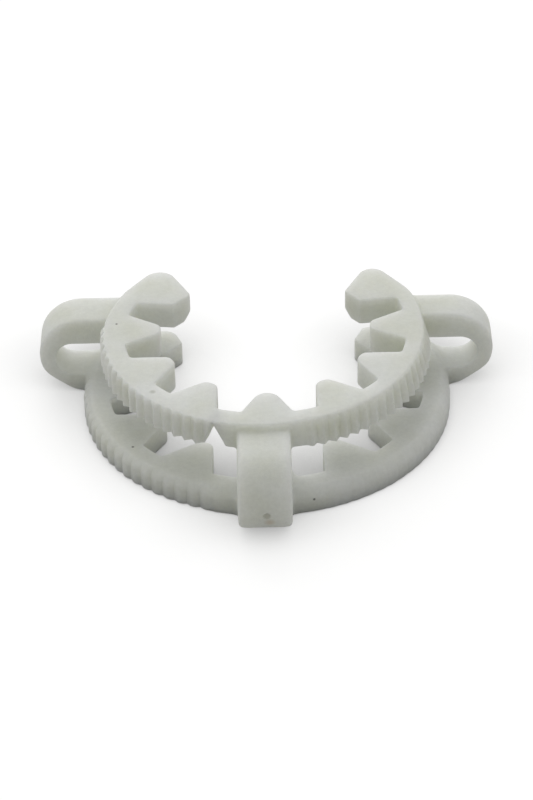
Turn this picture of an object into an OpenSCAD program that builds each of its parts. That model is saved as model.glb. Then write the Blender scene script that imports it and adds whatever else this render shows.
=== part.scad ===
// Ground glass joint clip: one moulded piece. Two open toothed rings, one above
// the other, hold the cone's neck and the socket's collar. Three U-shaped
// straps join the rings and stretch a little as the clip is pushed on.
// The rings' axis is Z, the mouth opens towards +Y and Z = 0 is the underside.

/* [Rings] */
// Outside diameter of the upper ring, over its ribs
upper_ring_d = 39; // [36:0.5:60]
// Outside diameter of the lower ring, over its ribs
lower_ring_d = 43.2; // [40:0.2:66]
// Height of the upper ring
upper_ring_h = 3.5; // [3:0.1:6]
// Height of the lower ring
lower_ring_h = 3.2; // [2.4:0.1:6]
// Clear height between the rings
ring_gap = 4.1; // [3:0.1:8]
// Thickness of a ring's wall behind its teeth
ring_wall = 3; // [2.4:0.1:4]
// Width of the slope round a ring's outer top edge, over its ribs
shoulder_w = 1; // [0.2:0.1:1.4]

/* [Grip teeth] */
// Diameter across the upper teeth, which grip the cone's neck
upper_grip_d = 24.4; // [20:0.1:28]
// Diameter across the lower teeth, which grip the socket's collar
lower_grip_d = 27.2; // [23:0.1:31]
// Angle from one tooth to the next, in degrees
tooth_pitch = 30.5; // [29:0.5:32]
// Angle of a tooth's flank to the tooth's centre line, in degrees
tooth_flank = 30; // [20:1:32]
// Width of a tooth at its tip
tooth_tip_w = 1.5; // [1:0.1:2]
// Rounding of a tooth's tip corners
tooth_tip_r = 0.5; // [0.2:0.1:0.7]

/* [Mouth] */
// Angle from the front to the middle of an end tooth's blunt tip, in degrees
end_tooth_turn = 122; // [121:0.5:124]
// Width of an end tooth's blunt tip
end_tooth_w = 2.5; // [1.8:0.1:3]
// Angle from the front to the middle of the upper ring's rounded end, in degrees
upper_end_turn = 130.5; // [129:0.5:132]
// Angle from the front to the middle of the lower ring's rounded end, in degrees
lower_end_turn = 126; // [125:0.5:128]
// Distance from the upper ring's outside in to the middle of its rounded end
upper_end_inset = 2.9; // [2.6:0.1:3.4]
// Distance from the lower ring's outside in to the middle of its rounded end
lower_end_inset = 5.9; // [5:0.1:6.2]
// Rounding of the upper ring's ends
upper_end_r = 1.7; // [1.4:0.1:2]
// Rounding of the lower ring's ends
lower_end_r = 1.8; // [1.4:0.1:2.2]
// Turn that the flat behind the upper ring's end faces, in degrees from the front
upper_end_face = 129; // [127:1:140]
// Turn that the flat behind the lower ring's end faces, in degrees from the front
lower_end_face = 170; // [150:1:175]

/* [Ribs] */
// Angle from one rib to the next on the upper ring, in degrees
upper_rib_pitch = 4.2; // [3.6:0.1:6]
// Angle from one rib to the next on the lower ring, in degrees
lower_rib_pitch = 4.3; // [3.6:0.1:6]
// How far the upper ring's ribs stand out
upper_rib_depth = 0.7; // [0.2:0.05:0.9]
// How far the lower ring's ribs stand out
lower_rib_depth = 0.5; // [0.2:0.05:0.9]

/* [Straps] */
// Width of the front strap
front_strap_w = 5.9; // [4:0.1:8]
// Width of each side strap
side_strap_w = 4.8; // [3.6:0.1:5]
// Distance of a side strap's middle behind the rings' axis
side_strap_back = 5; // [4.6:0.1:5.4]
// How far the front strap's bend stands out from the lower ring
front_strap_out = 5.8; // [4.6:0.1:12]
// How far a side strap's bend stands out from the lower ring
side_strap_out = 5.4; // [4.6:0.1:12]
// Drop from the upper ring's top to the front strap's top
front_strap_drop = 0.8; // [0:0.1:1.2]
// Drop from the upper ring's top to a side strap's top
side_strap_drop = 0.5; // [0:0.1:1.2]
// Thickness of a strap's upper leg
upper_leg_t = 3.4; // [2:0.1:4]
// Thickness of a strap's lower leg
lower_leg_t = 2.65; // [2:0.05:4]
// Thickness of a strap at its bend
bend_t = 1.9; // [1.2:0.1:3]
// Rounding of a strap's outer edges
strap_edge_r = 0.5; // [0.1:0.1:0.9]

/* [Marks] */
// Diameter of the moulding gate's mark on the front strap
gate_mark_d = 0.8; // [0.4:0.1:1.5]
// Drop of the gate's mark below the middle of the front bend
gate_mark_drop = 0.3; // [0:0.1:1.5]
// Depth of the gate's mark
gate_mark_depth = 0.15; // [0.05:0.05:0.4]
// Angle from the front to the piece broken out of the upper ring, in degrees
chip_turn = 17; // [14:0.5:18]
// Width of the broken-out piece at the ring's underside
chip_w = 3; // [1:0.1:3.6]
// Height of wall left above the broken-out piece
chip_bridge = 0.5; // [0.4:0.1:2]
// Rounding at the top of the broken-out piece
chip_tip_r = 0.3; // [0.1:0.1:0.4]

/* [Hidden] */
$fn = 96;
eps = 0.01;

upper_bottom = lower_ring_h + ring_gap;
total_h = upper_bottom + upper_ring_h;
gap_mid = lower_ring_h + ring_gap / 2;

// Distances from the rings' axis to the outside of the straps' bends
front_strap_reach = lower_ring_d / 2 + front_strap_out;
side_strap_reach = lower_ring_d / 2 + side_strap_out;
// A strap's legs run halfway into the rings' walls
leg_bite = ring_wall / 2;

// Teeth stand at whole pitches either side of the front one
regular_teeth = 3;
// Where long teeth would meet at their roots, this turn of wall is left between them
valley_turn = 1;

// Each ring's end: where its rounding is, how round it is and what its flat faces
upper_end = [upper_end_turn, upper_end_inset, upper_end_r, upper_end_face];
lower_end = [lower_end_turn, lower_end_inset, lower_end_r, lower_end_face];

// Ribs run from beside the front strap as far as the side strap
rib_from = 16;
rib_to = 97;
// The upper ring's bare wall lies this much behind the bottoms of its grooves
bare_wall_drop = 0.05;

// How far a cut for a mark or a break runs past the wall that it opens
cut_margin = 0.4;
// What has to be clear of a ring stands at this many times its radius
clear_times = 2;

// A point at a distance and a turn from the front, positive towards +X
function at(r, turn) = [r * sin(turn), -r * cos(turn)];
// A point in plan, turned about the axis as a tooth is
function turned(p, turn) =
    [p[0] * cos(turn) - p[1] * sin(turn), p[0] * sin(turn) + p[1] * cos(turn)];
// Points along an arc about c, from one direction to another
function arc(c, r, from, to, steps) =
    [for (i = [0:steps])
        let (dir = from + (to - from) * i / steps)
        c + r * [cos(dir), sin(dir)]];
function mirrored(points) = [for (i = [len(points) - 1:-1:0]) [-points[i][0], points[i][1]]];

// The foot of a tooth's flank, as its radius and its turn from the tooth's middle. A
// flank runs out to the ring's wall, or to where it comes to the next tooth's flank
function flank_foot(root_r, grip_r) =
    let (slope = tan(tooth_flank),
         meet_turn = (tooth_pitch - valley_turn) / 2,
         meet_r = (grip_r * slope - tooth_tip_w / 2) / (slope - sin(meet_turn)))
    meet_r < root_r
        ? [meet_r, meet_turn]
        : [root_r, asin((tooth_tip_w / 2 + (root_r - grip_r) * slope) / root_r)];

// A tooth's outline in plan, from its root on the +X side to the other root
function tooth_points(root_r, grip_r, turn) =
    let (foot = flank_foot(root_r, grip_r),
         round_at = [tooth_tip_w / 2 - tooth_tip_r * (1 - sin(tooth_flank)) / cos(tooth_flank),
                     -(grip_r + tooth_tip_r)],
         side = concat([at(foot[0], foot[1])], arc(round_at, tooth_tip_r, tooth_flank, 90, 4)))
    [for (p = concat(side, mirrored(side))) turned(p, turn)];

// The outline of a ring's +X end, from well outside the ring along its end flat, round
// its nose, along the mouth's face and across the blunt end tooth to the foot of that
// tooth's flank
function end_points(outer_r, grip_r, end) =
    let (foot = flank_foot(outer_r - ring_wall, grip_r),
         end_foot = at(foot[0], (regular_teeth + 1) * tooth_pitch - foot[1]),
         half_tip = end_tooth_w / 2 * [cos(end_tooth_turn), sin(end_tooth_turn)],
         tip = at(grip_r, end_tooth_turn),
         nose = at(outer_r - end[1], end[0]),
         nose_r = end[2],
         // The mouth's face leaves the tip and touches the nose's circle
         face = nose - (tip + half_tip),
         face_dir = atan2(face[1], face[0]) + asin(nose_r / norm(face)),
         flat_dir = end[3] - 90,
         flat_start = nose + nose_r * [cos(flat_dir), sin(flat_dir)]
                      + outer_r * [sin(flat_dir), -cos(flat_dir)])
    concat([clear_times * [outer_r, outer_r], flat_start],
           arc(nose, nose_r, flat_dir, face_dir + 90, 10),
           [tip + half_tip, tip - half_tip, end_foot]);

// Everything in plan inside a ring's teeth, and out through its mouth
module ring_void(outer_r, grip_r, end) {
    root_r = outer_r - ring_wall;
    right_end = end_points(outer_r, grip_r, end);
    polygon(concat(right_end,
        [for (i = [regular_teeth:-1:-regular_teeth])
            each tooth_points(root_r, grip_r, i * tooth_pitch)],
        mirrored(right_end)));
}

// Points of a zigzag of ribs whose grooves lie inside circle outer_r, between two turns
function zigzag(outer_r, pitch, depth, from, to) =
    [for (i = [ceil(from / pitch):floor(to / pitch) - 1], step = [0, 0.5])
        at(step == 0 ? outer_r + eps : outer_r - depth, (i + step) * pitch)];
// Points at a radius, in even steps from one turn to another
function spread_points(r, from, to, steps = 6) =
    [for (i = [0:steps]) at(r, from + (to - from) * i / steps)];

// The outline that ribs leave over each stretch of turns in a list, which goes once
// round. From the end of one stretch to the start of the next it runs at radius
// between_r, and nothing inside inner_r is left out
module rib_outline(outer_r, pitch, depth, stretches, between_r, inner_r) {
    count = len(stretches);
    polygon([for (i = [0:count - 1])
        let (here = stretches[i],
             next = stretches[(i + 1) % count][0] + (i == count - 1 ? 360 : 0))
        each concat(zigzag(outer_r, pitch, depth, here[0], here[1]),
                    spread_points(between_r, floor(here[1] / pitch) * pitch,
                                  ceil(next / pitch) * pitch))]);
    circle(inner_r);
}

// A ring standing on Z = 0. Its children are the outline in plan that its ribs leave
module ring(outer_r, grip_r, end, h) {
    inner_r = grip_r - tooth_tip_r;
    difference() {
        rotate_extrude()
            polygon([[inner_r, 0], [outer_r, 0], [outer_r, h - shoulder_w],
                     [outer_r - shoulder_w, h], [inner_r, h]]);
        translate([0, 0, -eps]) linear_extrude(h + 2 * eps) ring_void(outer_r, grip_r, end);
        translate([0, 0, -eps]) linear_extrude(h + 2 * eps)
            difference() {
                circle(clear_times * outer_r);
                children();
            }
    }
}

// The upper ring's ribs stand out of a bare wall, on both its sides
module upper_ring() {
    outer_r = upper_ring_d / 2;
    ring(outer_r, upper_grip_d / 2, upper_end, upper_ring_h)
        rib_outline(outer_r, upper_rib_pitch, upper_rib_depth,
                    [[-rib_to, -rib_from], [rib_from, rib_to]],
                    outer_r - ring_wall, outer_r - upper_rib_depth - bare_wall_drop);
}

// The lower ring's ribs are on its -X half only, and end flush with its bare wall
module lower_ring() {
    outer_r = lower_ring_d / 2;
    ring(outer_r, lower_grip_d / 2, lower_end, lower_ring_h)
        rib_outline(outer_r, lower_rib_pitch, lower_rib_depth,
                    [[-rib_to, -rib_from]], clear_times * outer_r, outer_r - ring_wall);
}

// A rectangle with its corners rounded, centred on the origin
module rounded_rect(w, h, r) {
    square([w - 2 * r, h], center = true);
    square([w, h - 2 * r], center = true);
    for (x = [-1, 1], y = [-1, 1])
        translate([x * (w / 2 - r), y * (h / 2 - r)]) circle(r);
}

// One strap along +X from the axis, its middle on Y = 0, with the slot in its loop
module strap(w, reach, top_drop) {
    h = total_h - top_drop;
    bend_r = h / 2;
    bend_at = reach - bend_r;
    slot_h = h - upper_leg_t - lower_leg_t;
    slot_end_at = reach - bend_t - slot_h / 2;
    difference() {
        union() {
            translate([0, 0, bend_r]) rotate([90, 0, 90])
                linear_extrude(bend_at) rounded_rect(w, h, strap_edge_r);
            translate([bend_at, 0, bend_r]) rotate([90, 0, 0])
                rotate_extrude()
                    intersection() {
                        rounded_rect(h, w, strap_edge_r);
                        translate([0, -w / 2]) square([bend_r, w]);
                    }
        }
        translate([0, w / 2 + eps, lower_leg_t + slot_h / 2]) rotate([90, 0, 0])
            linear_extrude(w + 2 * eps)
                union() {
                    translate([0, -slot_h / 2]) square([slot_end_at, slot_h]);
                    translate([slot_end_at, 0]) circle(slot_h / 2);
                }
    }
}

// Removes what would stand inside the rings' walls
module inside_rings() {
    translate([0, 0, -eps]) cylinder(r = lower_ring_d / 2 - leg_bite, h = gap_mid + eps);
    translate([0, 0, gap_mid - eps])
        cylinder(r = upper_ring_d / 2 - leg_bite, h = total_h - gap_mid + 2 * eps);
}

module straps() {
    difference() {
        union() {
            rotate(-90) strap(front_strap_w, front_strap_reach, front_strap_drop);
            for (side = [0, 1])
                mirror([side, 0, 0]) translate([0, side_strap_back, 0])
                    strap(side_strap_w, side_strap_reach, side_strap_drop);
        }
        inside_rings();
    }
}

// The piece that has broken out of the upper ring's wall, to the left of the front
// tooth: a V with a rounded top, open below
module chip() {
    chip_h = upper_ring_h - chip_bridge;
    spread = atan2(chip_w / 2 - chip_tip_r, chip_h - chip_tip_r);
    tip_z = upper_bottom + chip_h - chip_tip_r;
    side_x = chip_tip_r * cos(spread);
    side_z = tip_z + chip_tip_r * sin(spread);
    foot_z = upper_bottom - cut_margin;
    foot_x = side_x + (side_z - foot_z) * tan(spread);
    rotate(-chip_turn) rotate([90, 0, 0])
        translate([0, 0, upper_ring_d / 2 - ring_wall - cut_margin])
            linear_extrude(ring_wall + 2 * cut_margin)
                union() {
                    polygon([[-foot_x, foot_z], [foot_x, foot_z], [side_x, side_z], [-side_x, side_z]]);
                    translate([0, tip_z]) circle(chip_tip_r);
                }
}

// The gate's shallow round mark, outside the front bend
module gate_mark() {
    bend_mid = (total_h - front_strap_drop) / 2;
    translate([0, gate_mark_depth - front_strap_reach, bend_mid - gate_mark_drop])
        rotate([90, 0, 0]) cylinder(d = gate_mark_d, h = gate_mark_depth + cut_margin);
}

module clip() {
    color("gainsboro")
        difference() {
            union() {
                lower_ring();
                translate([0, 0, upper_bottom]) upper_ring();
                straps();
            }
            chip();
            gate_mark();
        }
}

clip();
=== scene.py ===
# %% [markdown]
# # A ground glass joint clip
#
# This clip is one small moulding of natural acetal. Two open, toothed rings stand one
# above the other. The upper ring grips the neck of a glass cone, the lower ring grips
# the collar under the socket, and three U-shaped straps pull the two together.
#
# The CAD model is the fixed frame. It is loaded first, and the looks are built
# in its place, in metres, without moving or resizing anything.

# %% Load the frame
import math

import bpy
from mathutils import Matrix, Vector


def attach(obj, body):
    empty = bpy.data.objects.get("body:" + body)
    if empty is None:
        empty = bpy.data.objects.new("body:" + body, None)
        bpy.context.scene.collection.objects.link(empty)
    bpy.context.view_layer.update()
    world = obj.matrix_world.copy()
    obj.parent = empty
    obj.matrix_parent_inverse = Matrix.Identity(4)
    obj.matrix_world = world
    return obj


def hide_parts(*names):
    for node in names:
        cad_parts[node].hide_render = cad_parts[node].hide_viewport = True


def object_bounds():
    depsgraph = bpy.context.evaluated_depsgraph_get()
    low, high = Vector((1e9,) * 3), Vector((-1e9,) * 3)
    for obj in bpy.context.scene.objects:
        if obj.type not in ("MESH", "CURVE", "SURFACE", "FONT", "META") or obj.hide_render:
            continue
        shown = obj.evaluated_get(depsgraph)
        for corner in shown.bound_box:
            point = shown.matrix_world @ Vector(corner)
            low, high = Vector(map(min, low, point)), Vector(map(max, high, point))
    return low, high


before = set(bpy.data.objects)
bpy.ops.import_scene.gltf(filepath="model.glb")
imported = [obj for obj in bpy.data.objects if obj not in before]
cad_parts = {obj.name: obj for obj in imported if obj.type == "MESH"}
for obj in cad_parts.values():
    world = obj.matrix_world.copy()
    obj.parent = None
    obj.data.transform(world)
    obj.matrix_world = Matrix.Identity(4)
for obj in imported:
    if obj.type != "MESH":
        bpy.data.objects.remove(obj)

MM = 0.001
cad_low, cad_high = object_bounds()
print("CAD box in mm:", [round(v / MM, 2) for v in (*cad_low, *cad_high)])

# %% [markdown]
# ## Two small helpers
#
# Every tree in this file, for shapes and for finishes, is built with one function that
# adds a node, sets its properties and fills its sockets. A socket is filled either with
# a link from another node or with a plain value.
#
# The clip's shape is worked out by arithmetic at every point of space, which takes a
# few hundred Math nodes. `Field` lets the sums be written as sums: adding two fields
# adds a Math node to their tree.

# %% Adding a node


def add_node(tree, kind, inputs=None, **settings):
    """Adds one node with its properties, and links or sets its input sockets."""
    node = tree.nodes.new(kind)
    for name, value in settings.items():
        setattr(node, name, value)
    for name, value in (inputs or {}).items():
        if isinstance(value, Field):
            value = value.socket
        if isinstance(value, bpy.types.NodeSocket):
            tree.links.new(value, node.inputs[name])
        else:
            node.inputs[name].default_value = value
    return node


# %% Sums at every point


class Field:
    """A number that a tree works out at every point, from a node's output socket."""

    def __init__(self, socket):
        self.socket = socket

    def __add__(self, other):
        return reckon("ADD", self, other)

    def __sub__(self, other):
        return reckon("SUBTRACT", self, other)

    def __rsub__(self, other):
        return reckon("SUBTRACT", other, self)

    def __mul__(self, other):
        return reckon("MULTIPLY", self, other)

    def __rmul__(self, other):
        return reckon("MULTIPLY", other, self)

    def __truediv__(self, other):
        return reckon("DIVIDE", self, other)

    def __neg__(self):
        return reckon("MULTIPLY", self, -1.0)

    def __abs__(self):
        return reckon("ABSOLUTE", self)


def reckon(operation, *values):
    """One step of arithmetic between fields and plain numbers."""
    tree = next(value.socket.id_data for value in values if isinstance(value, Field))
    node = add_node(tree, "ShaderNodeMath", dict(enumerate(values)), operation=operation)
    return Field(node.outputs[0])


# %% The sums that shapes are made of


def low(a, b):
    return reckon("MINIMUM", a, b)


def high(a, b):
    return reckon("MAXIMUM", a, b)


def clamped(share):
    """A share, held between nought and one."""
    return low(high(share, 0.0), 1.0)


def length(a, b):
    return reckon("SQRT", a * a + b * b)


# Smooth Min and Smooth Max blend over a distance. On a square corner this many times
# the wanted radius gives an edge as round as an arc of that radius
BLEND = 1.76


def joined(a, b, fillet):
    """The union of two solids, with a fillet of a given radius where they meet."""
    return reckon("SMOOTH_MIN", a, b, fillet * BLEND)


def shared(a, b, rounding):
    """What two solids share, with the edge between them rounded to a given radius."""
    return reckon("SMOOTH_MAX", a, b, rounding * BLEND)


# %% [markdown]
# ## The sizes
#
# The moulding's height and the reach of its straps come from the frame. The other sizes
# are in millimetres, and angles are in degrees from the front, as a mould maker would
# turn the blank on a dividing head. The two rings are made from one set of sizes each,
# so that one tree can make both. A real moulding isn't quite the same on its two sides,
# so a size that starts with Right holds on the right half only.
#
# The ribs start at one turn on the left and another on the right, they repeat at their
# pitch, and Right ribs is how strong they are on the right, from 0 to 1.

# %% Sizes from the frame
total_h = (cad_high.z - cad_low.z) / MM
side_reach = cad_high.x / MM
front_reach = -cad_low.y / MM
print(f"height {total_h:.2f}, side reach {side_reach:.2f}, front reach {front_reach:.2f}")

# %% Sizes of the upper ring
UPPER_RING_H = 3.5
UPPER_RING = {
    "Top": total_h,
    "Bottom": total_h - UPPER_RING_H,
    "Root radius": 16.44,
    "Grip radius": 12.2,
    "Bare radius": 18.8,
    "Rib groove radius": 18.8,
    "Rib depth": 0.6,
    "Rib roundness": 0.9,
    "Rib pitch": 4.2,
    "Rib first": 15.8,
    "Rib first shift": 0.7,
    "Rib top fade": 0.7,
    "Right rib top fade": 3.5,
    "Ribs from left": 17.6,
    "Ribs from right": 12.0,
    "Right ribs": 1.0,
    "Top edge radius": 19.0,
    "Right top edge radius": 18.45,
    "Nose ring radius": 16.7,
    "Nose turn": 128.9,
    "Nose rounding": 2.0,
    "Right nose ring radius": 16.36,
    "Right nose turn": 129.9,
    "Right nose rounding": 1.75,
    "End face turn": 126.7,
    "Lean": 0.4,
    "Lead-in": 1.1,
}
print("wall behind the teeth:", round(UPPER_RING["Bare radius"] - UPPER_RING["Root radius"], 2))

# %% Sizes of the lower ring
LOWER_RING = {
    "Top": 3.2,
    "Bottom": 0.0,
    "Root radius": 18.6,
    "Grip radius": 13.6,
    "Bare radius": 21.75,
    "Rib groove radius": 21.42,
    "Rib depth": 0.28,
    "Rib roundness": 1.8,
    "Rib pitch": 4.3,
    "Rib first": 15.05,
    "Rib first shift": 0.0,
    "Rib top fade": 1.2,
    "Right rib top fade": 1.6,
    "Ribs from left": 16.5,
    "Ribs from right": 13.0,
    "Right ribs": 0.2,
    "Top edge radius": 20.75,
    "Right top edge radius": 20.75,
    "Nose ring radius": 15.7,
    "Nose turn": 126.0,
    "Nose rounding": 1.8,
    "Right nose ring radius": 15.7,
    "Right nose turn": 130.0,
    "Right nose rounding": 0.8,
    "End face turn": 170.0,
    "Lean": 0.35,
    "Lead-in": 0.0,
}
print("gap between the rings:", round(UPPER_RING["Bottom"] - LOWER_RING["Top"], 2))

# %% Sizes of the straps
# The straps stop this far short of the frame's box, to the side and below its top
SIDE_LOOP_SHORT = 0.05
SIDE_LOOP_DROP = 0.5
FRONT_LOOP_DROP = 0.8
SIDE_STRAP = {
    "Reach": side_reach - SIDE_LOOP_SHORT,
    "Width": 4.8,
    "Height": total_h - SIDE_LOOP_DROP,
    "Upper leg": 3.4,
    "Lower leg": 2.65,
    "Bend": 1.9,
    "Edge rounding": 0.4,
    "Bend flat": 0.4,
}
# The front strap has the same legs and bend, and sizes of its own for the rest
FRONT_STRAP = {
    **SIDE_STRAP,
    "Reach": front_reach,
    "Width": 6.1,
    "Height": total_h - FRONT_LOOP_DROP,
    "Edge rounding": 0.55,
    "Bend flat": 0.35,
}
slot_h = SIDE_STRAP["Height"] - SIDE_STRAP["Upper leg"] - SIDE_STRAP["Lower leg"]
print("slot height:", round(slot_h, 2))

# %% [markdown]
# ## A ring, as a distance
#
# On the real mould a ring is a pocket: a round wall, teeth that point inwards at even
# steps, a blunt tooth at each side of the mouth, and fine ribs round the outside for
# fingers to grip. It could be modelled with booleans, but its many thin fillets would
# then each need a bevel that can fail. Here the ring is a distance field instead: a tree
# that gives, at any point, how far outside (+) or inside (-) the plastic it is. Edges
# and fillets become a smooth minimum or maximum, and the teeth become one tooth folded
# round the axis.

# %% A tree that other trees can use


def new_tree(name, inputs, output):
    """An empty tree: its inputs are names with a socket type and a default value."""
    tree = bpy.data.node_groups.new(name, "GeometryNodeTree")
    for label, (kind, default) in inputs.items():
        socket = tree.interface.new_socket(label, in_out="INPUT", socket_type=kind)
        if default is not None:
            socket.default_value = default
    tree.interface.new_socket(output[0], in_out="OUTPUT", socket_type=output[1])
    start = add_node(tree, "NodeGroupInput")
    end = add_node(tree, "NodeGroupOutput")
    return tree, start.outputs, end.inputs[0]


def sizes_as_inputs(sizes):
    """Named sizes as the inputs of a tree, with their values as the defaults."""
    return {label: ("NodeSocketFloat", value) for label, value in sizes.items()}


# %% Where a point is, seen from the ring's axis
# The lean grows up to this far back, and left sizes turn into right ones over this width
LEAN_TO_Y = 10.0
LEFT_TO_RIGHT = 8.0

ring_inputs = {"Position": ("NodeSocketVector", None), **sizes_as_inputs(UPPER_RING)}
ring_tree, given, ring_out = new_tree(
    "ring_distance", ring_inputs, ("Distance", "NodeSocketFloat"))
size = {label: Field(given[label]) for label in UPPER_RING}
place = add_node(ring_tree, "ShaderNodeSeparateXYZ", {0: given["Position"]})
straight_x, y, z = (Field(socket) for socket in place.outputs)

# The mouth leans a little to the right, as mouldings do when they cool
back = clamped(y / LEAN_TO_Y)
x = straight_x - size["Lean"] * back * back * (3.0 - back * 2.0)
side = abs(x)
r = length(x, y)
turn = reckon("DEGREES", reckon("ARCTAN2", side, -y))
is_right = reckon("GREATER_THAN", x, 0.0)
rightward = clamped(x / LEFT_TO_RIGHT + 0.5)


def by_side(label):
    """A size that is one thing on the left half and another on the right."""
    left, right = size[label], size["Right " + label.lower()]
    return left + (right - left) * rightward


print("inputs of the ring's tree:", len(ring_inputs))

# %% [markdown]
# ### Teeth
#
# Six of the seven regular teeth have a narrow flat tip. The front one has no flat: its
# flanks run on to a round tip. The teeth could be copied round the ring, but here the
# point is turned instead, to where the front tooth would be, so that the sums for one
# tooth serve for all of them.

# %% The regular teeth
TOOTH_PITCH = 30.5
REGULAR_TEETH = 3
TOOTH_FLANK = math.radians(29)
TOOTH_TIP_W = 1.6
TOOTH_TIP_ROUNDING = 0.5

nearest = low(reckon("ROUND", turn / TOOTH_PITCH), REGULAR_TEETH)
off = reckon("RADIANS", turn - nearest * TOOTH_PITCH)
across = abs(r * reckon("SINE", off))
outward = r * reckon("COSINE", off)
flank = across - TOOTH_TIP_W / 2 - (outward - size["Grip radius"]) * math.tan(TOOTH_FLANK)
regular_tooth = shared(
    flank * math.cos(TOOTH_FLANK), size["Grip radius"] - outward, TOOTH_TIP_ROUNDING)
print("regular teeth on each side of the front one:", REGULAR_TEETH)

# %% The front tooth, and the wall that the teeth stand on
FRONT_TOOTH_BACK = 0.46
FRONT_TOOTH_ROUNDING = 1.6
FRONT_TOOTH_FLANK = math.radians(29.5)
TOOTH_FOOT_FILLET = 0.3

from_centre = outward - size["Grip radius"] - FRONT_TOOTH_BACK - FRONT_TOOTH_ROUNDING
lean_in, lean_out = math.sin(FRONT_TOOTH_FLANK), math.cos(FRONT_TOOTH_FLANK)
flank = across * lean_out - from_centre * lean_in
on_tip = reckon("LESS_THAN", across * lean_in + from_centre * lean_out, 0.0)
front_tooth = flank + on_tip * (length(across, from_centre) - flank) - FRONT_TOOTH_ROUNDING
is_front = 1.0 - low(nearest, 1.0)
tooth = regular_tooth + is_front * (front_tooth - regular_tooth)
inside = joined(size["Root radius"] - r, tooth, TOOTH_FOOT_FILLET)
print("nodes, with the teeth:", len(ring_tree.nodes))

# %% [markdown]
# ### The ends
#
# At the mouth each ring ends in a blunt tooth, which has to slip over the glass. From
# the ring's wall a flank runs in to a fold, a wide flat tip goes on from the fold, and
# the mouth's face runs back from the tip until it touches the round nose of the ring.
# Where the tip ends and how round the nose is are sizes, and the mouth's face is found
# from them as the line that touches the nose's arc. Under the upper ring, the mouth's
# face is cut back at 45 degrees as a lead-in.

# %% The end tooth's flank and tip
END_TOOTH_TURN = math.radians(122)
END_TOOTH_W = 2.5
END_TOOTH_FOOT_TURN = math.radians(111)
END_TIP_TURN = math.radians(133)
END_TIP_LENGTH = 2.8

end_out_x, end_out_y = math.sin(END_TOOTH_TURN), -math.cos(END_TOOTH_TURN)
fold_x = size["Grip radius"] * end_out_x + end_out_y * END_TOOTH_W / 2
fold_y = size["Grip radius"] * end_out_y - end_out_x * END_TOOTH_W / 2
foot_x = size["Root radius"] * math.sin(END_TOOTH_FOOT_TURN)
foot_y = size["Root radius"] * -math.cos(END_TOOTH_FOOT_TURN)
flank_x, flank_y = fold_x - foot_x, fold_y - foot_y
flank_face = ((y - foot_y) * flank_x - (side - foot_x) * flank_y) / length(flank_x, flank_y)
tip_out_x, tip_out_y = math.sin(END_TIP_TURN), -math.cos(END_TIP_TURN)
tip_face = (fold_x - side) * tip_out_x + (fold_y - y) * tip_out_y
print("nodes, with the end tooth's flank and tip:", len(ring_tree.nodes))

# %% A rounded corner between two straight faces


def corner(along_x, along_y, normal_a, normal_b, radius):
    """Distance from a shape bounded by two faces that an arc joins.

    The point is given from the arc's centre. The faces' normals are angles in radians,
    the second one anticlockwise of the first.
    """
    ax, ay = reckon("COSINE", normal_a), reckon("SINE", normal_a)
    bx, by = reckon("COSINE", normal_b), reckon("SINE", normal_b)
    flat = high(along_x * ax + along_y * ay, along_x * bx + along_y * by)
    past_a = reckon("GREATER_THAN", ax * along_y - ay * along_x, 0.0)
    past_b = reckon("GREATER_THAN", along_x * by - along_y * bx, 0.0)
    on_arc = past_a * past_b
    return flat + on_arc * (length(along_x, along_y) - flat) - radius


# %% The mouth's face and the ring's nose
END_TOOTH_ROUNDING = 0.12
END_FACE_ROUNDING = 0.3
MOUTH_FROM_Y = 5.0

nose_turn = reckon("RADIANS", by_side("Nose turn"))
nose_rounding = by_side("Nose rounding")
nose_ring = by_side("Nose ring radius")
nose_x = nose_ring * reckon("SINE", nose_turn)
nose_y = -(nose_ring * reckon("COSINE", nose_turn))
mouth_x = fold_x - tip_out_y * END_TIP_LENGTH
mouth_y = fold_y + tip_out_x * END_TIP_LENGTH
to_nose_x, to_nose_y = nose_x - mouth_x, nose_y - mouth_y
mouth_normal = (
    reckon("ARCTAN2", to_nose_y, to_nose_x)
    + reckon("ARCSINE", nose_rounding / length(to_nose_x, to_nose_y))
    + math.pi / 2
)
mouth_face = (
    (side - mouth_x) * reckon("COSINE", mouth_normal)
    + (y - mouth_y) * reckon("SINE", mouth_normal)
)
end_tooth = shared(flank_face, tip_face, END_TOOTH_ROUNDING)
end_tooth = shared(end_tooth, mouth_face, END_FACE_ROUNDING)
end_normal = reckon("RADIANS", size["End face turn"] - 90.0)
nose = corner(side - nose_x, y - nose_y, end_normal, mouth_normal, nose_rounding)
in_plan = joined(inside, end_tooth, TOOTH_FOOT_FILLET)
in_plan = high(in_plan, low(nose, y - MOUTH_FROM_Y))
lead_in = (mouth_face + size["Bottom"] - z + size["Lead-in"]) * math.sqrt(0.5)
print("nodes, with the ends:", len(ring_tree.nodes))

# %% [markdown]
# ### Ribs
#
# The ribs are fine, about a millimetre and a half apart, and they fade out towards the
# ring's top edge, where the wall's radius is another one. They could be instances on a
# curve, but a fade is easier as a rule for the wall's radius: a crest at every step of
# the turn, which counts for more the further down the wall a point is.

# %% The ribbed outer wall
RIBS_END = 97.5
RIBS_COME_IN = 4.0
# Over the ribs the wall's radius changes fast, which makes its slope steeper than one.
# This share is taken off there, so that the sum stays close to a true distance
RIB_STEEPNESS = 0.28

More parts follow.
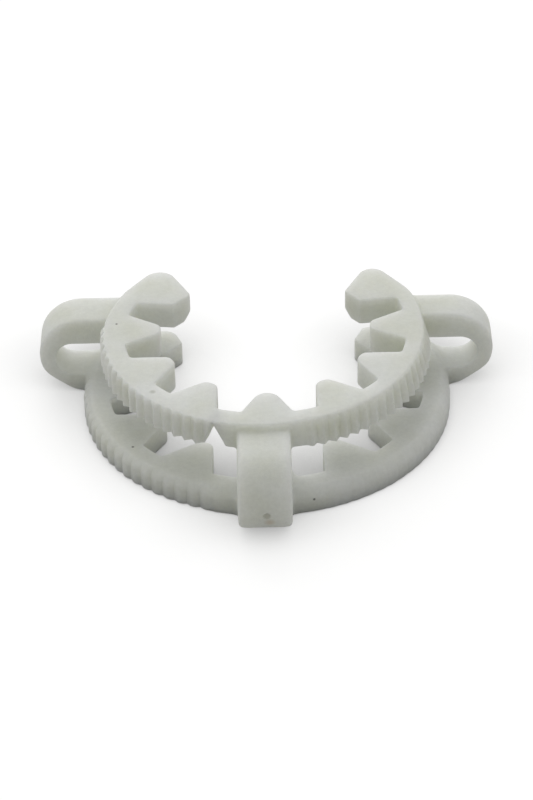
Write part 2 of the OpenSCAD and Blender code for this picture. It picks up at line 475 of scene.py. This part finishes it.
first = size["Rib first"] + size["Rib first shift"] * (1.0 - 2.0 * is_right)
steps = (turn - first) / size["Rib pitch"]
from_crest = abs(steps - reckon("ROUND", steps)) * 2.0
crest = 1.0 - reckon("POWER", from_crest, size["Rib roundness"])
ribs_from = (
    size["Ribs from left"] + (size["Ribs from right"] - size["Ribs from left"]) * is_right)
has_ribs = (
    clamped((turn - ribs_from) / RIBS_COME_IN)
    * clamped((RIBS_END - turn) / RIBS_COME_IN)
    * (1.0 - is_right * (1.0 - size["Right ribs"]))
)
ribbed = size["Rib groove radius"] + size["Rib depth"] * crest
foot_radius = size["Bare radius"] + has_ribs * (ribbed - size["Bare radius"])
down = clamped((size["Top"] - z) / by_side("Rib top fade"))
top_radius = by_side("Top edge radius")
outer_radius = top_radius + (foot_radius - top_radius) * down * (2.0 - down)
outside = (r - outer_radius) * (1.0 - RIB_STEEPNESS * has_ribs)
rib_spacing = math.radians(UPPER_RING["Rib pitch"]) * UPPER_RING["Bare radius"]
print("rib spacing:", round(rib_spacing, 2))

# %% The whole ring
FACE_EDGE = 0.16

levels = (
    abs(z - (size["Top"] + size["Bottom"]) * 0.5) - (size["Top"] - size["Bottom"]) * 0.5)
ring = shared(shared(in_plan, outside, FACE_EDGE), levels, FACE_EDGE)
ring = shared(ring, low(lead_in, y - MOUTH_FROM_Y), FACE_EDGE)
ring_tree.links.new(ring.socket, ring_out)
print("ring tree:", len(ring_tree.nodes), "nodes")

# %% [markdown]
# ## A strap, as a distance
#
# A strap is a flat band that leaves the upper ring, bends round through half a turn and
# comes back to the lower ring. Its outline is a stadium, the slot inside it is a smaller
# one, and both are simple distances: to a line that ends in a half circle. Low on the
# bend the outline is cut flatter, as on the real strap. What is across the band only
# rounds its edges. A band swept along a curve would look the same, but it would still
# have to be joined to the rings, and here the joint is part of the sum.

# %% The strap's tree
# The flatter cut faces this way, outwards and down
FLAT_ALONG, FLAT_DOWN = 0.6, 0.8
FLAT_EDGE = 0.4
SLOT_EDGE = 0.15

strap_inputs = {
    "Along": ("NodeSocketFloat", None),
    "Across": ("NodeSocketFloat", None),
    "Up": ("NodeSocketFloat", None),
    **sizes_as_inputs(SIDE_STRAP),
}
strap_tree, given, strap_out = new_tree(
    "strap_distance", strap_inputs, ("Distance", "NodeSocketFloat"))
size = {label: Field(given[label]) for label in SIDE_STRAP}
along, across, up = (Field(given[label]) for label in ("Along", "Across", "Up"))

bend_r = size["Height"] * 0.5
past_bend = high(along - (size["Reach"] - bend_r), 0.0)
outline = length(past_bend, up - bend_r) - bend_r
flat_at = (
    (size["Reach"] - bend_r) * FLAT_ALONG - bend_r * FLAT_DOWN + bend_r - size["Bend flat"])
outline = shared(outline, along * FLAT_ALONG - up * FLAT_DOWN - flat_at, FLAT_EDGE)
slot_r = (size["Height"] - size["Upper leg"] - size["Lower leg"]) * 0.5
past_slot = high(along - (size["Reach"] - size["Bend"] - slot_r), 0.0)
slot = length(past_slot, up - size["Lower leg"] - slot_r) - slot_r
faces = abs(across) - size["Width"] * 0.5
strap = shared(outline, faces, size["Edge rounding"])
strap = shared(strap, -slot, SLOT_EDGE)
strap = high(strap, -along)
strap_tree.links.new(strap.socket, strap_out)
print("strap tree:", len(strap_tree.nodes), "nodes")

# %% [markdown]
# ## The whole clip, as a distance
#
# The two rings and three straps are one moulding, so they are joined with fillets. Where
# a strap's lower leg meets the lower ring the fillet is larger, as a small web. A V of
# plastic has broken out of the upper ring's wall beside the front tooth: it is cut with
# ragged sides. Last, a slow, faint waviness stands for the shrinkage of a thick moulding.

# %% The clip's sizes
CHIP_BRIDGE = 0.5
CLIP = {
    **{"Upper ring " + label: value for label, value in UPPER_RING.items()},
    **{"Lower ring " + label: value for label, value in LOWER_RING.items()},
    **{"Side strap " + label: value for label, value in SIDE_STRAP.items()},
    **{"Front strap " + label: value for label, value in FRONT_STRAP.items()},
    "Side straps back": 5.0,
    "Left strap wider": 0.3,
    "Right strap longer": 0.05,
    "Left strap back": 0.65,
    "Front strap left": 0.45,
    "Upper fillet": 0.3,
    "Lower web": 0.8,
    "Chip turn": -18.4,
    "Chip top": total_h - CHIP_BRIDGE,
    "Chip half angle": 22.0,
    "Waviness": 0.05,
}
clip_inputs = {"Position": ("NodeSocketVector", None), **sizes_as_inputs(CLIP)}
clip_tree, given, clip_out = new_tree(
    "clip_distance", clip_inputs, ("Distance", "NodeSocketFloat"))
size = {label: Field(given[label]) for label in CLIP}
in_mm = add_node(clip_tree, "ShaderNodeVectorMath", {0: given["Position"], "Scale": 1 / MM},
                 operation="SCALE").outputs[0]
place = add_node(clip_tree, "ShaderNodeSeparateXYZ", {0: in_mm})
x, y, z = (Field(socket) for socket in place.outputs)
print("sizes of the clip:", len(CLIP))

# %% The two rings


def part_sizes(sizes, prefix, instead=None):
    """The inputs of one part's tree: the clip's own, with some of them replaced."""
    return {**{label: size[prefix + label] for label in sizes}, **(instead or {})}


upper_ring = add_node(clip_tree, "GeometryNodeGroup", {
    "Position": in_mm, **part_sizes(UPPER_RING, "Upper ring ")}, node_tree=ring_tree)
lower_ring = add_node(clip_tree, "GeometryNodeGroup", {
    "Position": in_mm, **part_sizes(LOWER_RING, "Lower ring ")}, node_tree=ring_tree)
print("nodes, with the rings:", len(clip_tree.nodes))

# %% The three straps
FRONT_LOW_EDGE = 0.35
FRONT_EDGE_FADE = 0.3
GAP_MIDDLE_Z = 5.25
# A strap starts this far inside the wall of its ring
UPPER_BITE = 0.8
LOWER_BITE = 1.5

right = reckon("SIGN", x)
side_straps = add_node(clip_tree, "GeometryNodeGroup", {
    "Along": abs(x),
    "Across": y - size["Side straps back"] - size["Left strap back"] * (0.5 - right * 0.5),
    "Up": z,
    **part_sizes(SIDE_STRAP, "Side strap ", {
        "Reach": size["Side strap Reach"] + size["Right strap longer"] * right,
        "Width": size["Side strap Width"] - size["Left strap wider"] * right,
    }),
}, node_tree=strap_tree)

# The front strap's edges are rounder towards its foot
low_down = clamped(1.0 - z * FRONT_EDGE_FADE)
front_strap = add_node(clip_tree, "GeometryNodeGroup", {
    "Along": -y,
    "Across": x + size["Front strap left"],
    "Up": z,
    **part_sizes(FRONT_STRAP, "Front strap ", {
        "Edge rounding": size["Front strap Edge rounding"] + FRONT_LOW_EDGE * low_down,
    }),
}, node_tree=strap_tree)
straps = low(Field(side_straps.outputs[0]), Field(front_strap.outputs[0]))

# Cut off there, the straps leave the teeth and the opening clear
is_low = reckon("LESS_THAN", z, GAP_MIDDLE_Z)
strap_start = (
    size["Upper ring Bare radius"] - UPPER_BITE
    + is_low * (size["Lower ring Bare radius"] - size["Upper ring Bare radius"]
                - (LOWER_BITE - UPPER_BITE))
)
straps = high(straps, strap_start - length(x, y))
print("nodes, with the straps:", len(clip_tree.nodes))

# %% Rings and straps as one moulding
BASE_EDGE = 0.3

clip = joined(Field(upper_ring.outputs[0]), straps, size["Upper fillet"])
clip = joined(clip, Field(lower_ring.outputs[0]), size["Lower web"])
clip = shared(clip, -z, BASE_EDGE)
print("nodes, with everything joined:", len(clip_tree.nodes))

# %% The V that broke out
# How far and how finely its sides are ragged, and how far it leans for its height
CHIP_RAGGED = 0.12
CHIP_RAGGED_SIZE = 1.2
CHIP_TILT = 0.095
CHIP_FROM_RADIUS = 10.0
CHIP_EDGE = 0.12

ragged = add_node(clip_tree, "ShaderNodeTexNoise", {
    "Vector": in_mm, "Scale": 1 / CHIP_RAGGED_SIZE, "Detail": 2.0})
chip_turn = reckon("RADIANS", size["Chip turn"])
chip_across = (
    x * reckon("COSINE", chip_turn) + y * reckon("SINE", chip_turn)
    + (Field(ragged.outputs[0]) - 0.5) * CHIP_RAGGED
    + (z - size["Upper ring Bottom"]) * CHIP_TILT
)
chip_out = x * reckon("SINE", chip_turn) - y * reckon("COSINE", chip_turn)
chip_half = reckon("RADIANS", size["Chip half angle"])
chip = (
    abs(chip_across) - (size["Chip top"] - z) * reckon("TANGENT", chip_half)
) * reckon("COSINE", chip_half)
chip = high(high(chip, CHIP_FROM_RADIUS - chip_out), GAP_MIDDLE_Z - z)
clip = shared(clip, -chip, CHIP_EDGE)
print("nodes, with the V:", len(clip_tree.nodes))

# %% The mark of the moulding gate, cut off low on the front strap's bend
GATE_AT = (-0.27, -front_reach, 4.6)
GATE_RADIUS = 0.36
GATE_DEPTH = 0.1
GATE_EDGE = 0.05
WAVE_SIZE = 5.0

gate = high(length(x - GATE_AT[0], z - GATE_AT[2]) - GATE_RADIUS, y - GATE_AT[1] - GATE_DEPTH)
clip = shared(clip, -gate, GATE_EDGE)
waves = add_node(clip_tree, "ShaderNodeTexNoise", {
    "Vector": in_mm, "Scale": 1 / WAVE_SIZE, "Detail": 1.0})
clip = clip + Field(waves.outputs[0]) * size["Waviness"]
clip_tree.links.new(clip.socket, clip_out)
print("clip tree:", len(clip_tree.nodes), "nodes")

# %% [markdown]
# ## From distance to mesh
#
# The skin could be joined from meshes with booleans, but a single wrap of the one
# distance gives one closed skin, as a moulding has, with no seams. A Volume Cube fills
# the clip's box with small cells and asks the tree for the distance at each. Volume to
# Mesh then wraps the cells where the distance is nought.
#
# That leaves faint steps, so every point is moved along the distance's slope on to the
# true surface. A Decimate modifier thins the mesh where it is flat, the points are
# settled once more, and the slope is kept as the normal, which shades a fine edge better
# than facets do.

# %% Setting points on the surface
SLOPE_STEP = 0.03 * MM
LONGEST_MOVE = 0.12 * MM
LEAST_STEEPNESS = 0.2
# The corners of a tetrahedron: the fewest samples that give a slope
CORNERS = ((1, 1, 1), (1, -1, -1), (-1, 1, -1), (-1, -1, 1))


def clip_slope(tree, given):
    """The distance's slope, and the move that brings a point to the surface."""
    here = add_node(tree, "GeometryNodeInputPosition").outputs[0]
    sizes = {label: given[label] for label in CLIP}
    slope = None
    distance = None
    for toward in CORNERS:
        there = add_node(tree, "ShaderNodeVectorMath", {
            0: here, 1: [c * SLOPE_STEP for c in toward]}, operation="ADD")
        there_distance = add_node(tree, "GeometryNodeGroup", {
            "Position": there.outputs[0], **sizes}, node_tree=clip_tree).outputs[0]
        share = add_node(tree, "ShaderNodeVectorMath", {
            0: toward, "Scale": there_distance}, operation="SCALE").outputs[0]
        if slope is None:
            slope, distance = share, Field(there_distance)
        else:
            slope = add_node(tree, "ShaderNodeVectorMath", {0: slope, 1: share},
                             operation="ADD").outputs[0]
            distance = distance + Field(there_distance)
    # The samples sum to a step's worth of slope for each, in millimetres a metre
    slope = add_node(tree, "ShaderNodeVectorMath", {
        0: slope, "Scale": MM / (len(CORNERS) * SLOPE_STEP)}, operation="SCALE").outputs[0]
    steepness = add_node(tree, "ShaderNodeVectorMath", {0: slope, 1: slope},
                         operation="DOT_PRODUCT").outputs["Value"]
    move = -(distance * (MM / len(CORNERS))) / high(Field(steepness), LEAST_STEEPNESS)
    move = low(high(move, -LONGEST_MOVE), LONGEST_MOVE)
    offset = add_node(tree, "ShaderNodeVectorMath", {0: slope, "Scale": move},
                      operation="SCALE").outputs[0]
    normal = add_node(tree, "ShaderNodeVectorMath", {0: slope}, operation="NORMALIZE").outputs[0]
    return normal, offset


def finish_tree(tree, geometry, material, end):
    """Ends a tree as an exported piece needs: nothing instanced, and one finish."""
    real = add_node(tree, "GeometryNodeRealizeInstances", {"Geometry": geometry}).outputs[0]
    done = add_node(tree, "GeometryNodeSetMaterial", {
        "Geometry": real, "Material": material}).outputs[0]
    tree.links.new(done, end)


# %% The wrapping tree
# A cell's size in mm, the air left round the clip, and how fast density falls outwards
CELL = 0.14
MARGIN = 4 * CELL
DENSITY_SLOPE = 1 / (2 * CELL)
SURFACE_DENSITY = 0.5

acetal = bpy.data.materials.new("natural_acetal_moulded")
box_inputs = {
    "Box low": ("NodeSocketVector", None),
    "Box high": ("NodeSocketVector", None),
    "Cells X": ("NodeSocketInt", 10),
    "Cells Y": ("NodeSocketInt", 10),
    "Cells Z": ("NodeSocketInt", 10),
}
wrap_tree, given, wrap_out = new_tree(
    "wrap_clip", {**box_inputs, **sizes_as_inputs(CLIP)}, ("Geometry", "NodeSocketGeometry"))
here = add_node(wrap_tree, "GeometryNodeInputPosition").outputs[0]
distance = add_node(wrap_tree, "GeometryNodeGroup", {
    "Position": here, **{label: given[label] for label in CLIP}}, node_tree=clip_tree)
density = clamped(SURFACE_DENSITY - Field(distance.outputs[0]) * DENSITY_SLOPE)
cells = add_node(wrap_tree, "GeometryNodeVolumeCube", {
    "Density": density, "Background": 0.0, "Min": given["Box low"], "Max": given["Box high"],
    "Resolution X": given["Cells X"], "Resolution Y": given["Cells Y"],
    "Resolution Z": given["Cells Z"]})
wrapped = add_node(wrap_tree, "GeometryNodeVolumeToMesh", {
    "Volume": cells.outputs[0], "Threshold": SURFACE_DENSITY})
_, offset = clip_slope(wrap_tree, given)
settled = add_node(wrap_tree, "GeometryNodeSetPosition", {
    "Geometry": wrapped.outputs[0], "Offset": offset})
finish_tree(wrap_tree, settled.outputs[0], acetal, wrap_out)
print("wrapping tree:", len(wrap_tree.nodes), "nodes")

# %% The settling tree
settle_tree, given, settle_out = new_tree(
    "settle_clip", {"Geometry": ("NodeSocketGeometry", None), **sizes_as_inputs(CLIP)},
    ("Geometry", "NodeSocketGeometry"))
normal, offset = clip_slope(settle_tree, given)
settled = add_node(settle_tree, "GeometryNodeSetPosition", {
    "Geometry": given["Geometry"], "Offset": offset})
smooth = add_node(settle_tree, "GeometryNodeSetShadeSmooth", {"Geometry": settled.outputs[0]})
shaded = add_node(settle_tree, "GeometryNodeSetMeshNormal", {
    "Mesh": smooth.outputs[0], "Custom Normal": normal}, mode="FREE", domain="POINT")
finish_tree(settle_tree, shaded.outputs[0], acetal, settle_out)
print("settling tree:", len(settle_tree.nodes), "nodes")

# %% Wrapping the clip


def set_inputs(modifier, values):
    """Sets a modifier's inputs by their sockets' identifiers."""
    for item in modifier.node_group.interface.items_tree:
        if item.in_out == "INPUT" and item.name in values:
            modifier[item.identifier] = values[item.name]


def evaluated_mesh(source):
    """A plain mesh of what an object's modifiers make."""
    source = source.evaluated_get(bpy.context.evaluated_depsgraph_get())
    return bpy.data.meshes.new_from_object(source)


blank = bpy.data.objects.new("clip_blank", bpy.data.meshes.new("clip_blank"))
bpy.context.collection.objects.link(blank)
box_low = [v / MM - MARGIN for v in cad_low]
box_high = [v / MM + MARGIN for v in cad_high]
cell_counts = [round((top - bottom) / CELL) + 1 for bottom, top in zip(box_low, box_high)]
wrap = blank.modifiers.new("wrap", "NODES")
wrap.node_group = wrap_tree
set_inputs(wrap, {
    "Box low": [v * MM for v in box_low], "Box high": [v * MM for v in box_high],
    "Cells X": cell_counts[0], "Cells Y": cell_counts[1], "Cells Z": cell_counts[2], **CLIP})
wrapped_mesh = evaluated_mesh(blank)
wrapped_triangles = sum(len(face.vertices) - 2 for face in wrapped_mesh.polygons)
print("cells:", cell_counts, "wrapped in", wrapped_triangles, "triangles")

# %% Thinning and settling
TRIANGLES = 190_000

thin = blank.modifiers.new("thin", "DECIMATE")
thin.ratio = min(1.0, TRIANGLES / wrapped_triangles)
settle = blank.modifiers.new("settle", "NODES")
settle.node_group = settle_tree
set_inputs(settle, CLIP)
clip_mesh = evaluated_mesh(blank)
clip_mesh.name = "clip_moulding"
bpy.data.objects.remove(blank)
moulding = bpy.data.objects.new("clip_moulding", clip_mesh)
bpy.context.collection.objects.link(moulding)
clip_mesh.calc_loop_triangles()
print("moulding:", len(clip_mesh.loop_triangles), "triangles")

# %% [markdown]
# ## Natural acetal
#
# Unpigmented acetal (POM) is a milky, slightly translucent plastic. Straight from a
# sparked mould it is satin, not glossy. Light goes in a few millimetres and comes out
# softened and a touch warm, so thin edges look lighter and recesses never go black.
# Thick sections cool unevenly, which leaves faint cloudy patches of a greener grey.
#
# It could be a plain pale colour, but then it would look like chalk. A full random walk
# under the surface gives the milkiness, and slow noise gives the clouds. A finer mottle,
# ripples and the sparked grain give the satin its life. A few real marks are then placed
# one by one, each as a soft spot at a point of the clip.

# %% Colours as the eye reads them


def linear(hex_colour):
    """An sRGB hex colour as the linear numbers that shaders work in."""
    parts = [int(hex_colour[i:i + 2], 16) / 255 for i in (1, 3, 5)]
    return (*(p / 12.92 if p <= 0.04045 else ((p + 0.055) / 1.055) ** 2.4 for p in parts), 1.0)


# A colour Mix node has sockets of the same name for other kinds of value, so its own
# are reached by number
MIX_SHARE, MIX_FROM, MIX_TO, MIXED = 0, 6, 7, 2
print("palest acetal, linear:", [round(c, 3) for c in linear("#dddfda")])

# %% The acetal's colour: cloudy patches with a fine mottle
CLOUD_SIZE = 7 * MM
CLOUD_DARK, CLOUD_LIGHT = 0.35, 0.65
# The mottle is drawn coarser than the real one, so that it shows
MOTTLE_SIZE = 0.5 * MM
MOTTLE = 0.045
# Noise seldom leaves this range
NOISE_LOW, NOISE_HIGH = 0.3, 0.7

acetal.use_nodes = True
tree = acetal.node_tree
tree.nodes.clear()
spot = add_node(tree, "ShaderNodeTexCoord").outputs["Object"]
clouds = add_node(tree, "ShaderNodeTexNoise", {
    "Vector": spot, "Scale": 1 / CLOUD_SIZE, "Detail": 3.0})
cloudy = add_node(tree, "ShaderNodeValToRGB", {"Fac": clouds.outputs[0]})
cloudy.color_ramp.elements[0].position = CLOUD_DARK
cloudy.color_ramp.elements[0].color = linear("#d5d7cd")
cloudy.color_ramp.elements[1].position = CLOUD_LIGHT
cloudy.color_ramp.elements[1].color = linear("#dddfda")
mottle = add_node(tree, "ShaderNodeTexNoise", {
    "Vector": spot, "Scale": 1 / MOTTLE_SIZE, "Detail": 4.0, "Roughness": 0.7})
mottled = add_node(tree, "ShaderNodeMapRange", {
    "Value": mottle.outputs[0], "From Min": NOISE_LOW, "From Max": NOISE_HIGH,
    "To Min": 1.0 - MOTTLE, "To Max": 1.0 + MOTTLE})
colour = add_node(tree, "ShaderNodeVectorMath", {
    0: cloudy.outputs[0], "Scale": mottled.outputs[0]}, operation="SCALE").outputs[0]
print("clouds of", CLOUD_SIZE / MM, "mm, mottle of", MOTTLE_SIZE / MM, "mm")

# %% Marks: name, place, radius and soft edge in mm, colour, strength
MARKS = [
    ("stain under the gate", (0.0, -27.1, 3.6), 0.45, 0.3, "#b9a794", 0.5),
    ("rim of the gate's mark", (-0.27, -27.3, 4.6), 0.42, 0.1, "#7d7a6c", 0.35),
    ("middle of the gate's mark", (-0.27, -27.3, 4.6), 0.22, 0.06, "#c3c3b8", 0.6),
    ("speck on the upper ring", (-17.41, 1.56, 10.8), 0.13, 0.06, "#5c5a50", 0.9),
    ("speck on the lower ring", (-15.48, -12.3, 3.2), 0.14, 0.06, "#54524a", 0.9),
    ("speck in the lower wall", (5.08, -21.15, 1.9), 0.15, 0.06, "#2e2c26", 0.8),
    ("rub on the upper ring", (-12.91, -12.12, 10.8), 0.3, 0.15, "#9a9c90", 0.5),
    ("whitened plastic beside the strap", (4.1, -21.0, 3.5), 0.6, 0.5, "#e6e8e2", 0.5),
]
for name, centre, radius, edge, hex_colour, strength in MARKS:
    away = add_node(tree, "ShaderNodeVectorMath", {0: spot, 1: [c * MM for c in centre]},
                    operation="DISTANCE")
    share = add_node(tree, "ShaderNodeMapRange", {
        "Value": away.outputs["Value"],
        "From Min": (radius - edge) * MM, "From Max": (radius + edge) * MM,
        "To Min": strength, "To Max": 0.0})
    marked = add_node(tree, "ShaderNodeMix", {
        MIX_SHARE: share.outputs[0], MIX_FROM: colour, MIX_TO: linear(hex_colour)},
        data_type="RGBA", label=name)
    colour = marked.outputs[MIXED]
print("marks:", len(MARKS))

# %% The acetal's surface: satin, rippled and finely sparked
ACETAL_IOR = 1.48
ROUGHNESS_FROM, ROUGHNESS_TO = 0.5, 0.6
# The grain, like the mottle, is drawn coarser than the real one
GRAIN_SIZE, GRAIN_HEIGHT, GRAIN_STRENGTH = 0.22 * MM, 0.04 * MM, 0.6
RIPPLE_SIZE, RIPPLE_HEIGHT, RIPPLE_STRENGTH = 1.5 * MM, 0.08 * MM, 0.4
# Light goes about this deep, and red and green go a little deeper than blue
LIGHT_DEPTH = 5.0 * MM
LIGHT_DEPTH_SHARES = (1.0, 0.98, 0.9)

grain = add_node(tree, "ShaderNodeTexNoise", {
    "Vector": spot, "Scale": 1 / GRAIN_SIZE, "Detail": 3.0, "Roughness": 0.6})
ripples = add_node(tree, "ShaderNodeTexNoise", {
    "Vector": spot, "Scale": 1 / RIPPLE_SIZE, "Detail": 2.0})
rippled = add_node(tree, "ShaderNodeBump", {
    "Height": ripples.outputs[0], "Strength": RIPPLE_STRENGTH, "Distance": RIPPLE_HEIGHT})
grained = add_node(tree, "ShaderNodeBump", {
    "Height": grain.outputs[0], "Strength": GRAIN_STRENGTH, "Distance": GRAIN_HEIGHT,
    "Normal": rippled.outputs[0]})
roughness = add_node(tree, "ShaderNodeMapRange", {
    "Value": clouds.outputs[0], "From Min": NOISE_LOW, "From Max": NOISE_HIGH,
    "To Min": ROUGHNESS_FROM, "To Max": ROUGHNESS_TO})
plastic = add_node(tree, "ShaderNodeBsdfPrincipled", {
    "Base Color": colour, "Roughness": roughness.outputs[0], "IOR": ACETAL_IOR,
    "Normal": grained.outputs[0], "Subsurface Weight": 1.0,
    "Subsurface Radius": LIGHT_DEPTH_SHARES, "Subsurface Scale": LIGHT_DEPTH})
add_node(tree, "ShaderNodeOutputMaterial", {"Surface": plastic.outputs[0]})
print("acetal:", len(tree.nodes), "nodes")

# %% [markdown]
# ## Floor
#
# The clip stands on a sheet of white paper. Matt paper has no gloss, so the eye reads it
# by the soft shade that things leave on it. Seen directly, it should be as white as the
# backdrop, but white paper would also throw a lot of light up under the clip. So the
# paper is one grey for the light that it throws back, and for the rays that see it a
# darker paper with a glow, which keeps a light shadow.
#
# The glow would fill the narrow gaps between the rings with white, where the floor lies in
# deep shade, so a shade is painted into it: Ambient Occlusion over a short reach, turned
# towards the front, darkens it just behind the rings and straps, and leaves it in front of
# them. Its direction has to come through a link, as a value typed into that socket is
# not used.

# %% Rays that see the floor and the room directly


def seen_share(tree):
    """One for rays from the camera, in a reflection or through glass, nought for others."""
    ray = add_node(tree, "ShaderNodeLightPath").outputs
    seen = add_node(tree, "ShaderNodeMath", {
        0: ray["Is Camera Ray"], 1: ray["Is Glossy Ray"]}, operation="MAXIMUM")
    seen = add_node(tree, "ShaderNodeMath", {
        0: seen.outputs[0], 1: ray["Is Transmission Ray"]}, operation="MAXIMUM")
    return seen.outputs[0]


# %% The floor
FLOOR_HALF = 2.0
PAPER_GLOW = 0.75
# The painted shade in the paper's glow: how far it reaches, which way it is turned, and its samples
SHADE_REACH = 12 * MM
SHADE_FROM = (0.0, -0.8, 0.6)
SHADE_SAMPLES = 16

corners = [(-FLOOR_HALF, -FLOOR_HALF, 0), (FLOOR_HALF, -FLOOR_HALF, 0),
           (FLOOR_HALF, FLOOR_HALF, 0), (-FLOOR_HALF, FLOOR_HALF, 0)]
floor_mesh = bpy.data.meshes.new("floor")
floor_mesh.from_pydata(corners, [], [(0, 1, 2, 3)])
floor = bpy.data.objects.new("floor", floor_mesh)
bpy.context.collection.objects.link(floor)

paper = bpy.data.materials.new("white_paper_sweep")
paper.use_nodes = True
tree = paper.node_tree
tree.nodes.clear()
seen = seen_share(tree)
shade_from = add_node(tree, "ShaderNodeCombineXYZ", dict(enumerate(SHADE_FROM)))
# Painted shade: Ambient Occlusion darkens the seen glow close behind the rings and straps
shade = add_node(tree, "ShaderNodeAmbientOcclusion", {
    "Distance": SHADE_REACH, "Normal": shade_from.outputs[0]},
    samples=SHADE_SAMPLES)
seen_glow = add_node(tree, "ShaderNodeMath", {0: seen, 1: PAPER_GLOW}, operation="MULTIPLY")
seen_glow = add_node(tree, "ShaderNodeMath", {
    0: seen_glow.outputs[0], 1: shade.outputs["AO"]}, operation="MULTIPLY")
paper_colour = add_node(tree, "ShaderNodeMix", {
    MIX_SHARE: seen, MIX_FROM: linear("#c8c8c4"), MIX_TO: linear("#a4a4a3")},
    data_type="RGBA")
matt = add_node(tree, "ShaderNodeBsdfDiffuse", {"Color": paper_colour.outputs[MIXED]})
glow = add_node(tree, "ShaderNodeEmission", {"Strength": seen_glow.outputs[0]})
both = add_node(tree, "ShaderNodeAddShader", {0: matt.outputs[0], 1: glow.outputs[0]})
add_node(tree, "ShaderNodeOutputMaterial", {"Surface": both.outputs[0]})
floor_mesh.materials.append(paper)
print("floor:", 2 * FLOOR_HALF, "m wide")

# %% [markdown]
# ## Light
#
# Small white parts are lit in a light tent: nearly all the light is soft and comes from
# everywhere, more of it from the back, and two weak softboxes brighten the tops of the
# teeth and rings. The world is the tent. Each softbox is measured by the light that it
# adds to the floor under the clip, as a share of plain white, and its power follows from
# its distance and its slant.

# %% The world
# The tent's strength, and the share by which it rises behind and falls in front
TENT = 0.59
TENT_BACKWARD = 0.45

world = bpy.data.worlds.new("white_studio")
bpy.context.scene.world = world
world.use_nodes = True
tree = world.node_tree
tree.nodes.clear()
seen = seen_share(tree)
toward = add_node(tree, "ShaderNodeTexCoord").outputs["Object"]
toward_back = add_node(tree, "ShaderNodeSeparateXYZ", {0: toward}).outputs["Y"]
tent = add_node(tree, "ShaderNodeMath", {
    0: toward_back, 1: TENT * TENT_BACKWARD, 2: TENT}, operation="MULTIPLY_ADD")
strength = add_node(tree, "ShaderNodeMapRange", {
    "Value": seen, "To Min": tent.outputs[0], "To Max": 1.0})
sky = add_node(tree, "ShaderNodeBackground", {
    "Color": (1, 1, 1, 1), "Strength": strength.outputs[0]})
add_node(tree, "ShaderNodeOutputWorld", {"Surface": sky.outputs[0]})
front_light, back_light = (TENT * (1 + way * TENT_BACKWARD) for way in (-1, 1))
print("tent: from", round(front_light, 2), "in front to", round(back_light, 2), "behind")

# %% The softboxes
# Places and sizes are in metres
SOFTBOXES = {
    "top_softbox": {"at": (-0.2, 0.0, 0.6), "share": 0.05},
    "back_softbox": {"at": (-0.1, 0.48, 0.5), "share": 0.15},
}
SOFTBOX_SIZE = (0.5, 0.4)

for name, light in SOFTBOXES.items():
    light_at = Vector(light["at"])
    light_data = bpy.data.lights.new(name, "AREA")
    light_data.shape = "RECTANGLE"
    light_data.size, light_data.size_y = SOFTBOX_SIZE
    light_data.energy = math.pi ** 2 * light["share"] * light_at.length ** 3 / light_at.z
    softbox = bpy.data.objects.new(name, light_data)
    softbox.location = light_at
    softbox.rotation_euler = (-light_at).to_track_quat("-Z", "Y").to_euler()
    bpy.context.collection.objects.link(softbox)
    print(name, round(light_data.energy, 2), "W")

# %% [markdown]
# ## Camera
#
# The clip is looked at from the front and from above, over the front strap, so that the
# teeth of both rings show. A long lens keeps the two rings close to the same scale. The
# camera is turned a little about its own axis, as a camera held in the hand is.

# %% The camera
# Places, lens and sensor are in millimetres
CAMERA_AT = (0.0, -256.6, 188.2)
CAMERA_AIM = (-0.05, -4.77, 3.9)
CAMERA_ROLL = math.radians(1.3)
LENS = 180.6
SENSOR_WIDTH = 36

camera_data = bpy.data.cameras.new("camera")
camera_data.lens = LENS
camera_data.sensor_width = SENSOR_WIDTH
camera_data.sensor_fit = "HORIZONTAL"
camera = bpy.data.objects.new("camera", camera_data)
camera.location = Vector(CAMERA_AT) * MM
facing = (Vector(CAMERA_AIM) * MM - camera.location).to_track_quat("-Z", "Y").to_matrix()
camera.rotation_euler = (facing @ Matrix.Rotation(-CAMERA_ROLL, 3, "Z")).to_euler()
bpy.context.collection.objects.link(camera)
bpy.context.scene.camera = camera
bpy.context.scene.view_settings.view_transform = "Standard"
reach = Vector(CAMERA_AIM) - Vector(CAMERA_AT)
print("camera looks down at", round(math.degrees(math.asin(-reach.z / reach.length)), 1), "degrees")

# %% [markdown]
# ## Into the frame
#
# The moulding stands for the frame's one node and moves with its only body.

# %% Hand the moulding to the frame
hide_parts("clip")
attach(moulding, "root")
